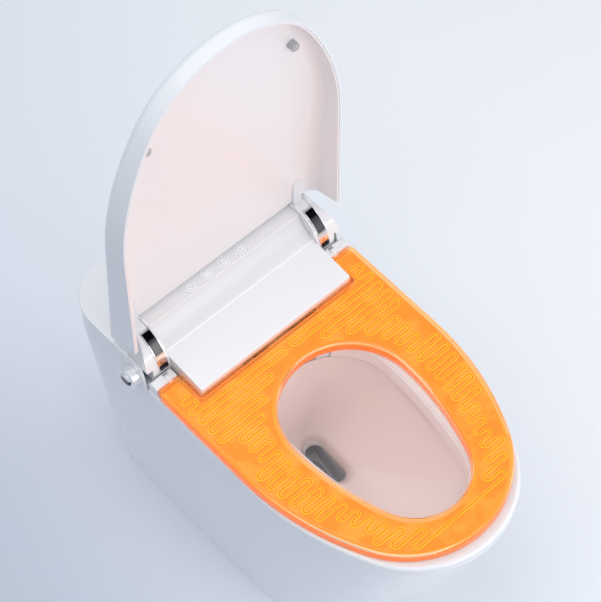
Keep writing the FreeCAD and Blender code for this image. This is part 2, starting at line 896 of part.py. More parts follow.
def lid_end(extra):
    """Everything behind the slanted rear end of the lid."""
    low_y, high_y = size("lid_end_low_y") - extra, size("lid_end_high_y") - extra
    low_z, high_z = size("lid_edge_z"), size("lid_top_rear")
    lean = (high_y - low_y) / (high_z - low_z)
    return extrude_x([(low_y - 10 * lean, low_z - 10), (500, low_z - 10), (500, high_z + 30),
                      (high_y + 30 * lean, high_z + 30)], -400, 400)


def stepped_form(fit, low):
    """The hidden faces between shell and liner: two plain steps under the rounded edge."""
    skirt = lid_form(fit, fit + size("lid_step"), low)
    roof = lid_form(fit + size("lid_step"), fit, low)
    return skirt.fuse(roof)


def lid_shell():
    low = size("lid_edge_z")
    outside = lid_form(0, 0, low)
    outside = outside.makeFillet(size("lid_round"), roof_edges(outside, low))
    return outside.cut(stepped_form(size("lid_wall"), low - 1)).cut(lid_end(0))


def lid_liner():
    low = size("lid_edge_z")
    fit = size("lid_wall + gap")
    skin = fit + size("liner_skin")
    inside = lid_form(skin, fit + size("liner_drop"), low - 1)
    inside = inside.makeFillet(size("liner_round"), roof_edges(inside, low))
    return stepped_form(fit, low + 0.6).cut(inside).cut(lid_end(1.0))


def liner_height(y):
    """Underside of the liner above a place on the closed lid."""
    rear_top = size("lid_top_rear - lid_wall - gap - liner_drop")
    fall = size("lid_top_rear - lid_top_front") / size("lid_end_high_y + lid_front")
    return rear_top - fall * (size("lid_end_high_y") - y)


def lid_hinge_arm():
    """Knuckle on the hinge line and a bar that carries the lid."""
    inner, outer = size("trim_inner + arm_gap"), size("trim_outer - arm_gap")
    knuckle = Part.makeCylinder(size("knuckle_radius"), outer - inner, V(inner, lid_axis.y, lid_axis.z), X_AXIS)
    front, rear = size("arm_bar_front"), size("lid_end_high_y") - 1.4
    bar = extrude_x([(front, size("arm_bar_z")), (rear, size("arm_bar_z")),
                     (rear, liner_height(rear)), (front, liner_height(front))], inner, outer)
    bar = bar.makeFillet(3, [edge for edge in bar.Edges if edge.BoundBox.YMax < front + 1e-3
                             and edge.BoundBox.ZLength > 2])
    web = box(inner, outer, lid_axis.y - size("knuckle_radius"), lid_axis.y + 4, lid_axis.z,
              size("arm_bar_z") + 2)
    web = web.common(box(inner, outer, 0, rear, 0, 600)).fuse(
        box(inner, outer, lid_axis.y - size("knuckle_radius"), rear, lid_axis.z, size("arm_bar_z") + 1))
    bore = Part.makeCylinder(size("lid_damper_radius + 0.05"), 60, V(inner - 10, lid_axis.y, lid_axis.z), X_AXIS)
    return knuckle.fuse([bar, web]).cut(bore)


def lid_bumpers(liner):
    pads = []
    for name, side in SIDES:
        top = liner_height(-size("bumper_y"))
        foot = Part.makeCylinder(size("bumper_radius"), size("bumper_length") + 2,
                                 V(side * size("bumper_x"), -size("bumper_y"), top - size("bumper_length")))
        pads.append(foot.makeChamfer(size("bumper_chamfer"), edges_at(foot, top - size("bumper_length"))).cut(liner))
    return Part.makeCompound(pads)


shaped("lid_shell", lid_shell(), lid_open)
liner_solid = lid_liner()
shaped("lid_liner", liner_solid, lid_open)
shaped("lid_bumpers", lid_bumpers(liner_solid), lid_open)
for name, side in SIDES:
    arm = lid_hinge_arm()
    shaped(f"lid_hinge_arm_{name}", arm if side > 0 else reflected(arm), lid_open)


# ---------------------------------------------------------------- heated seat
def seat_plan(inset, level, height):
    """The seat's ring with its two ears, drawn in by inset on every side."""
    outer = egg_wire(size("seat_half") - inset, size("seat_rear") - inset, inset - size("seat_front"),
                     size("seat_nose") - inset, -110, max(size("seat_corner") - inset, 1), level)
    hole = oval_wire(size("seat_hole_half") + inset, size("seat_hole_rear") + inset,
                     -size("seat_hole_front") - inset, 0.78 * size("seat_hole_half") + inset, level)
    notch = rounded_box(-size("notch_half") - inset, size("notch_half") + inset,
                        size("notch_front") - inset, 300, level - 1, level + height + 1,
                        size("notch_corner"))
    return prism(outer, height), prism(hole, height), notch


def seat_ring(inset, level, height):
    plate, hole, notch = seat_plan(inset, level, height)
    return plate.cut([hole, notch])


def seat_cover():
    """Clear moulded top with rounded outer edge and rounded edge at the hole."""
    low, top = size("seat_cover_z"), size("seat_top")
    plate, hole, notch = seat_plan(0, low, top - low)
    plate = plate.makeFillet(size("seat_round"), edges_at(plate, top))
    ring_solid = plate.cut(hole)
    inner = [edge for edge in edges_at(ring_solid, top) if edge.BoundBox.XMax < size("seat_hole_half + 1")
             and edge.BoundBox.YMax < size("seat_hole_rear + 1")
             and edge.BoundBox.YMin > -size("seat_hole_front + 1")]
    ring_solid = ring_solid.makeFillet(size("seat_hole_round"), inner)
    cavity = seat_ring(size("seat_wall"), low - 1, top - low + 1 - size("seat_roof"))
    return ring_solid.cut(notch).cut(cavity)


def seat_lug():
    """Knuckle at the rear of an ear, turning in the hinge block."""
    inner, outer = size("lug_inner"), size("lug_outer")
    y, z, radius = size("seat_axis_y"), size("seat_axis_z"), size("seat_knuckle")
    knuckle = Part.makeCylinder(radius, outer - inner, V(inner, y, z), X_AXIS)
    arm = box(inner, outer, size("seat_rear") - 12, y, size("seat_base_z"), size("seat_base_z + seat_base_thick"))
    web = extrude_x([(size("seat_rear + 0.4"), size("seat_base_z")), (y, z - radius), (y, z + 3),
                     (size("seat_rear + 0.4"), z + 3)], inner, outer)
    bore = Part.makeCylinder(size("seat_damper_radius + 0.05"), 60, V(inner - 10, y, z), X_AXIS)
    return knuckle.fuse([arm, web]).cut(bore)


def seat_base():
    """Moulded underside that closes the cover and carries the knuckles."""
    plate = seat_ring(size("seat_wall + gap"), size("seat_base_z"), size("seat_base_thick"))
    lug = seat_lug()
    return plate.fuse([lug, reflected(lug)])


cover_solid = seat_cover()
for name, side in SIDES:
    low_x, high_x = size("lug_inner - gap"), size("lug_outer + gap")
    relief = box(low_x, high_x, size("seat_rear") - 14, 200, size("seat_cover_z") - 2,
                 size("seat_base_z + seat_base_thick + gap"))
    cover_solid = cover_solid.cut(relief if side > 0 else reflected(relief))
shaped("seat_cover", cover_solid)
shaped("seat_base", seat_base())

foil_top = "seat_top - seat_roof - 0.1 - wire_thick"
shaped("heater_foil", seat_ring(size("seat_wall + foil_inset"), size(foil_top) - size("foil_thick"),
                                size("foil_thick")))


# The heating wire: one flat serpentine in two mirrored halves. Its runs lie across
# the seat, between the hole and the outer edge, and step back beside each rubber pad.
def egg_half_width(half, front, nose, shoulder, y):
    """Half width of an egg-shaped outline at one place along the seat."""
    centre = front + nose
    drop = shoulder - centre
    side = (half**2 + drop**2 - nose**2) / (2 * (half - nose))
    if y >= shoulder:
        return half
    middle, meet = nose_curve(half, front, nose, shoulder, 0)
    if y >= meet.y:
        return half - side + math.sqrt(side**2 - (y - shoulder) ** 2)
    return math.sqrt(max(nose**2 - (y - centre) ** 2, 0))


def hole_half_width(margin, y):
    half = size("seat_hole_half") + margin
    rear, front = size("seat_hole_rear") + margin, -size("seat_hole_front") - margin
    shoulder = rear - half
    if y >= rear or y <= front:
        return 0
    if y >= shoulder:
        return math.sqrt(half**2 - (y - shoulder) ** 2)
    return egg_half_width(half, front, 0.78 * size("seat_hole_half") + margin, shoulder, y)


PAD_TURNS = {5: "wire_pad_margin", 6: "wire_pad_margin", 7: "wire_pad_margin",
             14: "wire_nose_margin", 15: "wire_nose_margin", 16: "wire_nose_margin"}


def wire_rows():
    """Height, inner end and outer end of every run on the right half."""
    pitch, first = size("wire_pitch"), size("wire_first_y")
    front = 0.5 * size("seat_hole_front + wire_hole_margin / 2 + seat_front - wire_side_margin")
    pairs = round((first + front) / (2 * pitch))
    inner_ends = []
    for turn in range(pairs + 1):
        y = first - pitch * (2 * turn - 0.5)
        if y > size("notch_front") - 8:
            inner_ends.append(size("wire_lead_x"))
        else:
            inner_ends.append(max(hole_half_width(size("wire_hole_margin"), y), size("wire_centre_gap")))
    rows = []
    for pair in range(pairs):
        y = first - pitch * (2 * pair + 0.5)
        margin = size(PAD_TURNS.get(pair, "wire_side_margin"))
        reach = egg_half_width(size("seat_half") - margin, margin - size("seat_front"),
                               size("seat_nose") - margin, -110, y)
        outer = max(reach, max(inner_ends[pair:pair + 2]) + pitch + 1)
        rows.append((y + 0.5 * pitch, inner_ends[pair], outer))
        rows.append((y - 0.5 * pitch, inner_ends[pair + 1], outer))
    return rows


def ribbon(places, half, level, height):
    """A flat strip of even width along a line of points."""
    sides = ([], [])
    for index, place in enumerate(places):
        before = (place - places[index - 1]) if index else (places[1] - place)
        after = (places[index + 1] - place) if index + 1 < len(places) else before
        before.normalize()
        after.normalize()
        across = V(-before.y - after.y, before.x + after.x, 0)
        across.normalize()
        reach = half / (across.x * -before.y + across.y * before.x)
        sides[0].append(place + across * reach + V(0, 0, level))
        sides[1].append(place - across * reach + V(0, 0, level))
    corners = sides[0] + sides[1][::-1]
    return Part.Face(Part.makePolygon(corners + corners[:1])).extrude(V(0, 0, height))


def heating_wire():
    radius = 0.5 * size("wire_pitch")
    rows = wire_rows()
    line = [V(rows[0][1], rows[0][0], 0)]
    for index in range(len(rows) - 1):
        outer_turn = index % 2 == 0
        sense = 1 if outer_turn else -1
        x = rows[index][2] - radius if outer_turn else rows[index][1] + radius
        y = 0.5 * (rows[index][0] + rows[index + 1][0])
        for step in range(4):
            angle = math.radians(90 - 60 * step)
            line.append(V(x + sense * radius * math.cos(angle), y + radius * math.sin(angle), 0))
    whole = line + [mirrored(place) for place in line[::-1]]
    return ribbon(whole, 0.5 * size("wire_width"), size(foil_top), size("wire_thick"))


shaped("heating_wire", heating_wire())


def seat_bumpers():
    pads = []
    for turn in (6, 15):
        y = size("wire_first_y") - size("wire_pitch") * (2 * turn + 0.5)
        x = egg_half_width(size("seat_half"), -size("seat_front"), size("seat_nose"), -110, y)
        x -= size("wire_side_margin + seat_bumper_radius")
        for name, side in SIDES:
            low = size("rim_top + gap")
            pads.append(Part.makeCylinder(size("seat_bumper_radius"), size("seat_base_z") - low,
                                          V(side * x, y, low)))
    return Part.makeCompound(pads)


shaped("seat_bumpers", seat_bumpers())

thermostat = cylinder("thermostat", "7", "4", "100", "-8", foil_top + " - foil_thick - 4")
node(thermostat, "seat_thermostat")

# ---------------------------------------------------------------- side knob
# A turned chrome ring around a push button, on the left side panel. The pieces are
# drawn about X = 0 at the panel's face and stand out towards -X.
knob_face = "-rim_half"
knob = new_body("knob_ring")
profile = sketch_on(knob, "XZ_Plane")
outline(profile, [("button_radius + 0.2", "gap + 4"), ("button_radius + 0.2", "gap + knob_depth"),
                  ("knob_radius - knob_round", "gap + knob_depth"), ("knob_radius", "gap + knob_depth - knob_round"),
                  ("knob_radius - 0.8", "gap"), ("knob_hub_radius", "gap"),
                  ("knob_hub_radius", "-panel_thick - 2"), ("plunger_radius + 0.3", "-panel_thick - 2"),
                  ("plunger_radius + 0.3", "gap + 4")])
revolve(knob, profile)
knob.Placement = FreeCAD.Placement(V(), FreeCAD.Rotation(Z_AXIS, V(-1, 0, 0)))
place(knob, knob_face, "knob_y", "knob_z")

button = new_body("knob_button")
profile = sketch_on(button, "XZ_Plane")
outline(profile, [("0", "-panel_thick - 4"), ("plunger_radius", "-panel_thick - 4"),
                  ("plunger_radius", "gap + 4 + button_travel + 0.4"),
                  ("button_radius", "gap + 4 + button_travel + 0.4"),
                  ("button_radius", "gap + knob_depth + button_proud - 1.4"),
                  ("button_radius - 1.4", "gap + knob_depth + button_proud"),
                  ("0", "gap + knob_depth + button_proud + 0.7")])
revolve(button, profile)
button.Placement = FreeCAD.Placement(V(), FreeCAD.Rotation(Z_AXIS, V(-1, 0, 0)))
place(button, knob_face, "knob_y", "knob_z")

# The encoder stands on the chassis behind the panel, around the knob's hub.
encoder = new_body("knob_encoder")
profile = sketch_on(encoder, "XY_Plane")
outline(profile, [("-encoder_half", "-encoder_half"), ("encoder_half", "-encoder_half"),
                  ("encoder_half", "encoder_half"), ("-encoder_half", "encoder_half")])
ring(profile, "0", "0", "knob_hub_radius + running_gap")
pad(encoder, profile, "encoder_depth")
encoder.Placement = FreeCAD.Placement(V(), FreeCAD.Rotation(Z_AXIS, X_AXIS))
place(encoder, "panel_thick - 0.2 + rim_half - hump_outer - rim_half", "knob_y", "knob_z")

# ---------------------------------------------------------------- wash wand
slope = FreeCAD.Rotation(X_AXIS, size("wand_slope"))


def sloped(feature, x):
    """Lays a piece drawn along +Y on the line of the wand or the duct."""
    feature.Placement = FreeCAD.Placement(V(), slope)
    return place(feature, x, "wand_mouth_y", "wand_mouth_z")


def along(name, radius, start, length):
    return cylinder(name, radius, length, "0", start, "0", Y_AXIS)


guide = new_body("nozzle_guide")
profile = sketch_on(guide, "XZ_Plane")
outline(profile, [("-guide_half", "-guide_half"), ("guide_half", "-guide_half"),
                  ("guide_half", "guide_half"), ("-guide_half", "guide_half")])
ring(profile, "0", "0", "wand_radius + running_gap")
pad(guide, profile, "guide_length", backwards=True)
sloped(guide, "wand_x")

wand = new_body("nozzle_wand")
profile = sketch_on(wand, "XZ_Plane", "-wand_tip")
ring(profile, "0", "0", "wand_radius")
pad(wand, profile, "wand_length", backwards=True)
sloped(wand, "wand_x")

tip = new_body("nozzle_tip")
profile = sketch_on(tip, "XZ_Plane", "gap")
ring(profile, "0", "0", "wand_radius")
pad(tip, profile, "wand_tip + gap", backwards=True)
sloped(tip, "wand_x")

shield = new_body("nozzle_shield")
profile = sketch_on(shield, "XZ_Plane", "gap")
outline(profile, [("-shield_half", "-shield_half"), ("shield_half", "-shield_half"),
                  ("shield_half", "shield_half"), ("-shield_half", "shield_half")])
pad(shield, profile, "shield_thick")
sloped(shield, "wand_x")

# ---------------------------------------------------------------- warm-air dryer
duct = new_body("dryer_duct")
profile = sketch_on(duct, "XZ_Plane")
outline(profile, [("-duct_half_wide", "-duct_half_high"), ("duct_half_wide", "-duct_half_high"),
                  ("duct_half_wide", "duct_half_high"), ("-duct_half_wide", "duct_half_high")])
outline(profile, [("duct_wall - duct_half_wide", "duct_wall - duct_half_high"),
                  ("duct_half_wide - duct_wall", "duct_wall - duct_half_high"),
                  ("duct_half_wide - duct_wall", "duct_half_high - duct_wall"),
                  ("duct_wall - duct_half_wide", "duct_half_high - duct_wall")])
pad(duct, profile, "duct_length", backwards=True)
ears = sketch_on(duct, "YZ_Plane", "duct_half_wide + gap")
outline(ears, [("-gap - flap_thick / 2 - 3", "duct_half_high - 3"), ("6", "duct_half_high - 3"),
               ("6", "duct_half_high + 3"), ("-gap - flap_thick / 2 - 3", "duct_half_high + 3")])
ring(ears, "-gap - flap_thick / 2", "duct_half_high", "flap_pin_radius + 0.05")
ear = pad(duct, ears, "flap_ear")
root = sketch_on(duct, "YZ_Plane", "duct_half_wide - 1")
outline(root, [("3", "duct_half_high - 3"), ("6", "duct_half_high - 3"),
               ("6", "duct_half_high"), ("3", "duct_half_high")])
stem = pad(duct, root, "gap + 1 + flap_ear")
mirror = duct.newObject("PartDesign::Mirrored", "ears_mirrored")
mirror.Originals = [ear, stem]
mirror.MirrorPlane = ([face for face in duct.Origin.OriginFeatures if face.Role == "YZ_Plane"][0], [""])
duct.Tip = mirror
sloped(duct, "duct_x")

flap = new_body("dryer_flap")
profile = sketch_on(flap, "XZ_Plane", "gap")
outline(profile, [("-duct_half_wide", "-duct_half_high"), ("duct_half_wide", "-duct_half_high"),
                  ("duct_half_wide", "duct_half_high"), ("-duct_half_wide", "duct_half_high")])
pad(flap, profile, "flap_thick")
rod = sketch_on(flap, "YZ_Plane")
ring(rod, "-gap - flap_thick / 2", "duct_half_high", "flap_pin_radius")
pad(flap, rod, "2 * (duct_half_wide + gap + flap_ear)", midplane=True)
sloped(flap, "duct_x")


def fan_case():
    """Round blower case with a mouth towards the duct."""
    radius, wall, high = size("fan_case_radius"), size("fan_case_wall"), size("fan_case_height")
    low = size(chassis_top) + 0.1
    centre = V(size("fan_x"), size("fan_y"), low)
    case = Part.makeCylinder(radius, high, centre)
    inside = Part.makeCylinder(radius - wall, high - 2 * wall, centre + V(0, 0, wall))
    eye = Part.makeCylinder(size("motor_radius") + 5, wall + 2, centre + V(0, 0, -1))
    mouth = box(centre.x - radius, centre.x - 8, centre.y - radius, centre.y - 6, low + 9, low + high - wall - 3)
    opening = box(centre.x - radius - 1, centre.x - 10, centre.y - radius - 1, centre.y - 8,
                  low + 11, low + high - wall - 5)
    return case.fuse(mouth).cut([inside, opening, eye])


shaped("fan_case", fan_case())


def fan_wheel():
    """Hub and backward blades on a disc, turning on the motor's shaft."""
    low = size(chassis_top) + 0.1 + size("fan_case_wall") + 2
    centre = V(size("fan_x"), size("fan_y"), low)
    high, radius = size("wheel_height"), size("wheel_radius")
    disc = Part.makeCylinder(radius, 1.6, centre + V(0, 0, high - 1.6))
    hub = Part.makeCylinder(5, high, centre)
    blades = []
    for index in range(int(size("wheel_blades"))):
        blade = box(13, radius, -0.7, 0.7, 0, high)
        blade.rotate(V(radius, 0, 0), Z_AXIS, 25)
        blade.rotate(V(), Z_AXIS, 360 / size("wheel_blades") * index)
        blade.translate(centre)
        blades.append(blade.common(Part.makeCylinder(radius, high, centre)))
    bore = Part.makeCylinder(size("motor_shaft + running_gap"), high + 2, centre - V(0, 0, 1))
    return disc.fuse([hub] + blades).cut(bore)


shaped("fan_wheel", fan_wheel())
motor_z = chassis_top + " + 0.1 + fan_case_height - fan_case_wall"
motor_can = cylinder("motor_can", "motor_radius", "6", "fan_x", "fan_y", motor_z + " - 6.1")
motor_rod = cylinder("motor_rod", "motor_shaft", "wheel_height + 3", "fan_x", "fan_y",
                     motor_z + " - 6.1 - wheel_height - 3")
joined("fan_motor", [motor_can, motor_rod])

# ---------------------------------------------------------------- modules on the chassis
seat_z = chassis_top + " + gap"


def rounded_module(label, x0, y0, long, wide, z0, high, radius):
    """A moulded module with rounded upright edges and a lid line."""
    low = size(z0)
    solid = rounded_box(size(x0), size(x0) + size(long), size(y0), size(y0) + size(wide), low,
                        low + size(high), radius)
    return shaped(label, solid)


rounded_module("water_heater", "-cover_half + 12", "fold_y + 2", "heater_long", "heater_wide", seat_z,
               "heater_high", 8)
rounded_module("deodoriser_cartridge", "80", "hump_rear + 16", "filter_long", "filter_wide", seat_z,
               "filter_high", 4)

board = block("board_plate", "board_long", "board_wide", "board_thick", "-board_long + 60", "hump_rear + 16",
              seat_z + " + 4")
relay = block("board_relay", "26", "18", "12", "-60", "hump_rear + 30", seat_z + " + 4 + board_thick")
coil = block("board_coil", "30", "26", "18", "0", "hump_rear + 34", seat_z + " + 4 + board_thick")
stands = []
for index, (x, y) in enumerate((("-board_long + 66", "hump_rear + 22"), ("54", "hump_rear + 22"),
                                ("-board_long + 66", "hump_rear + 88"), ("54", "hump_rear + 88"))):
    stands.append(cylinder(f"board_stand_{index}", "3", "4", x, y, seat_z))
joined("control_board", [board, relay, coil] + stands)


# ---------------------------------------------------------------- water side in the bay
def flush_tank():
    top = size(chassis_z) - size("gap")
    tank = rounded_box(-size("tank_half"), size("tank_half"), size("tank_front"), size("tank_rear"),
                       size("tank_floor"), top, 14)
    wall = size("tank_wall")
    room = rounded_box(wall - size("tank_half"), size("tank_half") - wall, size("tank_front") + wall,
                       size("tank_rear") - wall, size("tank_floor") + wall, top - wall, 11)
    return tank.cut(room)


shaped("flush_tank", flush_tank())
pump_y = "(tank_front + tank_rear) / 2"
pump_can = cylinder("pump_can", "pump_radius", "pump_high", "0", pump_y, "tank_floor - gap - pump_high")
pump_neck = cylinder("pump_neck", "9", "22", "pump_radius - 3", pump_y, "tank_floor - gap - pump_high / 2",
                     X_AXIS)
joined("flush_pump", [pump_can, pump_neck])

valve_top = chassis_z + " - gap"
valve_body = cylinder("valve_body", "valve_radius", "valve_long", "tank_half + 3 + valve_radius",
                      "bay_rear - 40 - valve_long / 2", valve_top + " - valve_radius - 14", Y_AXIS)
valve_coil = block("valve_coil", "2 * valve_radius - 6", "24", "22", "tank_half + 6",
                   "bay_rear - 52", valve_top + " - 22")
joined("solenoid_valve", [valve_body, valve_coil])


def rear_face(height):
    """Where the rear wall's outside stands at one height."""
    share = height / size("rim_top - rim_band")
    swell = share + size("body_bulge") * math.sin(math.pi * share)
    return size("foot_rear") + size("body_rear - foot_rear") * swell


def through_fitting(x, z, radius, flange, reach):
    """A fitting that sits in a hole through the rear wall."""
    face = rear_face(z)
    seat = rear_face(z + radius + 7) + size("gap")
    wall = size("ceramic_wall")
    barrel = Part.makeCylinder(radius + 3 if flange else radius, wall + 14, V(x, face - wall - 8, z), Y_AXIS)
    collar = Part.makeCylinder(radius + 7, 4, V(x, seat, z), Y_AXIS)
    stub = Part.makeCylinder(radius, reach, V(x, seat + 2, z), Y_AXIS)
    inner = Part.makeCylinder(radius - 3.5, 90, V(x, face - 40, z), Y_AXIS)
    return barrel.fuse([collar, stub]).cut(inner)


shaped("water_inlet", through_fitting(size("inlet_x"), size("inlet_z"), size("inlet_radius"), True,
                                      size("inlet_thread") + 2))
shaped("power_gland", through_fitting(size("gland_x"), size("gland_z"), size("gland_radius"), False, 10))

# ---------------------------------------------------------------- check and write
doc.recompute()
for item in doc.Objects:
    assert "Invalid" not in item.State and "Error" not in item.State, f"{item.Label}: {item.State}"
for item in NODES:
    assert not item.Shape.isNull() and item.Shape.isValid(), f"{item.Label}: no valid shape"
    assert item.Shape.Solids, f"{item.Label}: no solid"
for item in NODES:
    item.Shape.exportStep(f"parts/{item.Label}.step")
    print(item.Label, len(item.Shape.Solids), round(item.Shape.Volume / 1000, 1))
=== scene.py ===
import math
import bmesh
import bpy
from mathutils import Matrix, Vector


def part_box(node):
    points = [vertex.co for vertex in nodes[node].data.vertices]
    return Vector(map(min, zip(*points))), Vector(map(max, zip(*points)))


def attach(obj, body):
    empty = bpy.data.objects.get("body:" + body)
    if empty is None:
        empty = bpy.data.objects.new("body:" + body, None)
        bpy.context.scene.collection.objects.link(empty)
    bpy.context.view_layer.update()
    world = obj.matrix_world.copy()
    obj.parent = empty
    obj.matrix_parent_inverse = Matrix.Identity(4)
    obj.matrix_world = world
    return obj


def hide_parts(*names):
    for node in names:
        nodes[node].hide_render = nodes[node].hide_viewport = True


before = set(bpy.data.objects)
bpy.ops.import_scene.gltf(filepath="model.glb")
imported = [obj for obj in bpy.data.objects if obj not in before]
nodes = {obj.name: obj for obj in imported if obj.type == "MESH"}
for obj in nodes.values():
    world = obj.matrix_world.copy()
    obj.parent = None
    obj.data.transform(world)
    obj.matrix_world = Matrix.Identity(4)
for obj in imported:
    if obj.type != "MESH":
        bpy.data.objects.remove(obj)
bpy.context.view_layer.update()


# ---------------------------------------------------------------- camera
# A long lens, high in front of the toilet's left side, so that the open lid, the
# cover and the whole seat are seen from above.
def placed(name, data):
    """An object of the scene that holds this data."""
    holder = bpy.data.objects.new(name, data)
    bpy.context.scene.collection.objects.link(holder)
    return holder


view_azimuth = math.radians(-42.27)
view_elevation = math.radians(57.68)
view_roll = math.radians(0.08)
view_place = (-1.15079, -1.26706, 3.24524)
camera_data = bpy.data.cameras.new("camera")
camera_data.sensor_fit = "HORIZONTAL"
camera_data.sensor_width = 36
camera_data.lens = 136.55
camera_data.shift_x = 0.0190
camera_data.shift_y = 0.0063
camera_data.clip_end = 40
camera = placed("camera", camera_data)
towards_viewer = Vector((math.sin(view_azimuth) * math.cos(view_elevation),
                         -math.cos(view_azimuth) * math.cos(view_elevation),
                         math.sin(view_elevation)))
rightwards = Vector((math.cos(view_azimuth), math.sin(view_azimuth), 0))
upwards = towards_viewer.cross(rightwards)
aimed = Matrix((rightwards, upwards, towards_viewer)).transposed()
turn = aimed @ Matrix.Rotation(view_roll, 3, "Z")
camera.matrix_world = Matrix.Translation(view_place) @ turn.to_4x4()
bpy.context.scene.camera = camera
bpy.context.scene.view_settings.view_transform = "Standard"


# ---------------------------------------------------------------- studio floor
# A matt pale floor of painted board, whose colour carries painted shade: darker and bluer towards
# the left.
# The object stands on it and casts its soft shadow there.
def new_material(name):
    """A node material with its tree and its shader."""
    material = bpy.data.materials.new(name)
    material.use_nodes = True
    tree = material.node_tree
    return material, tree, tree.nodes["Principled BSDF"]


def place_on(tree, axis, kind="Object"):
    """One coordinate of the point on the piece, in metres, or of its "Normal"."""
    coordinates = tree.nodes.new("ShaderNodeTexCoord")
    split = tree.nodes.new("ShaderNodeSeparateXYZ")
    tree.links.new(coordinates.outputs[kind], split.inputs[0])
    return split.outputs[axis]


def colour_steps(tree, factor, steps, start=0.0, end=1.0):
    """A colour that runs through the steps while the factor runs from start to end."""
    spread = tree.nodes.new("ShaderNodeMapRange")
    spread.inputs["From Min"].default_value = start
    spread.inputs["From Max"].default_value = end
    tree.links.new(factor, spread.inputs[0])
    ramp = tree.nodes.new("ShaderNodeValToRGB")
    points = ramp.color_ramp.elements
    while len(points) < len(steps):
        points.new(0.5)
    for point, (place, colour) in zip(points, steps):
        point.position = place
        point.color = (*colour, 1)
    tree.links.new(spread.outputs[0], ramp.inputs[0])
    return ramp.outputs["Color"]


floor_half = 9
floor_corners = [(-floor_half, -floor_half, 0), (floor_half, -floor_half, 0),
                 (floor_half, floor_half, 0), (-floor_half, floor_half, 0)]
floor_mesh = bpy.data.meshes.new("studio_floor")
floor_mesh.from_pydata(floor_corners, [], [(0, 1, 2, 3)])
studio_floor = placed("studio_floor", floor_mesh)
# Painted shade: the floor's colour darkens towards the left, where the light falls off.
shade_left, shade_right = -0.75, 0.75
painted_shade_steps = ((0.0, (0.45, 0.48, 0.54)), (0.25, (0.60, 0.64, 0.71)), (0.45, (0.80, 0.82, 0.87)),
                 (0.75, (0.82, 0.835, 0.86)), (1.0, (0.86, 0.87, 0.885)))
board, tree, shader = new_material("floor_board_painted_shade")
painted_floor_shade = colour_steps(tree, place_on(tree, "X"), painted_shade_steps, shade_left, shade_right)
tree.links.new(painted_floor_shade, shader.inputs["Base Color"])
shader.inputs["Roughness"].default_value = 0.6
shader.inputs["Specular IOR Level"].default_value = 0.2
floor_mesh.materials.append(board)

# ---------------------------------------------------------------- sky and lamps
# Even, slightly blue light from all round, with a large soft box overhead, one on
# the right and one in front. Polished metal sees the same pale room.
sky = bpy.data.worlds.new("studio_sky")
sky.use_nodes = True
bpy.context.scene.world = sky
sky_light = sky.node_tree.nodes["Background"]
sky_light.inputs["Color"].default_value = (0.84, 0.90, 1.0, 1)
sky_light.inputs["Strength"].default_value = 0.64


def soft_lamp(name, place, aim, width, power, colour):
    """A square soft box that shines from place to aim."""
    lamp = bpy.data.lights.new(name, "AREA")
    lamp.shape = "SQUARE"
    lamp.size = width
    lamp.energy = power
    lamp.color = colour
    soft_box = placed(name, lamp)
    soft_box.location = place
    soft_box.rotation_euler = (Vector(aim) - Vector(place)).to_track_quat("-Z", "Y").to_euler()


soft_lamp("top_soft_box", (-0.7, 0.2, 3.4), (0, 0, 0.4), 2.2, 34, (1.0, 1.0, 1.0))
soft_lamp("right_soft_box", (2.3, -0.9, 2.6), (0, -0.05, 0.4), 2.2, 20, (1.0, 0.985, 0.965))
soft_lamp("front_soft_box", (0.3, -3.2, 1.7), (0, -0.1, 0.5), 2.4, 42, (1.0, 0.965, 0.945))


# ---------------------------------------------------------------- ceramic body
# Vitreous china, cast in one piece with its bowl, flushing shelf and trap, and fired
# with a thick white glaze.
def add_relief(tree, shader, scale, strength, distance):
    """A fine uneven surface, and the noise that makes it."""
    coordinates = tree.nodes.new("ShaderNodeTexCoord")
    noise = tree.nodes.new("ShaderNodeTexNoise")
    noise.inputs["Scale"].default_value = scale
    noise.inputs["Detail"].default_value = 4
    bump = tree.nodes.new("ShaderNodeBump")
    bump.inputs["Strength"].default_value = strength
    bump.inputs["Distance"].default_value = distance
    tree.links.new(coordinates.outputs["Object"], noise.inputs["Vector"])
    tree.links.new(noise.outputs["Fac"], bump.inputs["Height"])
    tree.links.new(bump.outputs["Normal"], shader.inputs["Normal"])
    return noise.outputs["Fac"]


def blended(tree, factor, low, high):
    """A colour between low and high; each is a colour or another node's output."""
    mix = tree.nodes.new("ShaderNodeMix")
    mix.data_type = "RGBA"
    tree.links.new(factor, mix.inputs[0])
    for socket, colour in ((mix.inputs[6], low), (mix.inputs[7], high)):
        if isinstance(colour, tuple):
            socket.default_value = (*colour, 1)
        else:
            tree.links.new(colour, socket)
    return mix.outputs[2]


def finished(name, relief, low, high, roughness):
    """A finish with a fine relief, whose colour drifts between low and high."""
    material, tree, shader = new_material(name)
    drift = add_relief(tree, shader, *relief)
    tree.links.new(blended(tree, drift, low, high), shader.inputs["Base Color"])
    shader.inputs["Roughness"].default_value = roughness
    return material, shader


def paint(material, *names):
    """Gives the named solids this finish."""
    for name in names:
        for place in nodes[name].material_slots:
            place.material = material


glaze, shader = finished("white_glaze", (40, 0.02, 0.001),
                         (0.80, 0.815, 0.84), (0.84, 0.85, 0.87), 0.14)
shader.inputs["Coat Weight"].default_value = 0.25
paint(glaze, "ceramic_body")
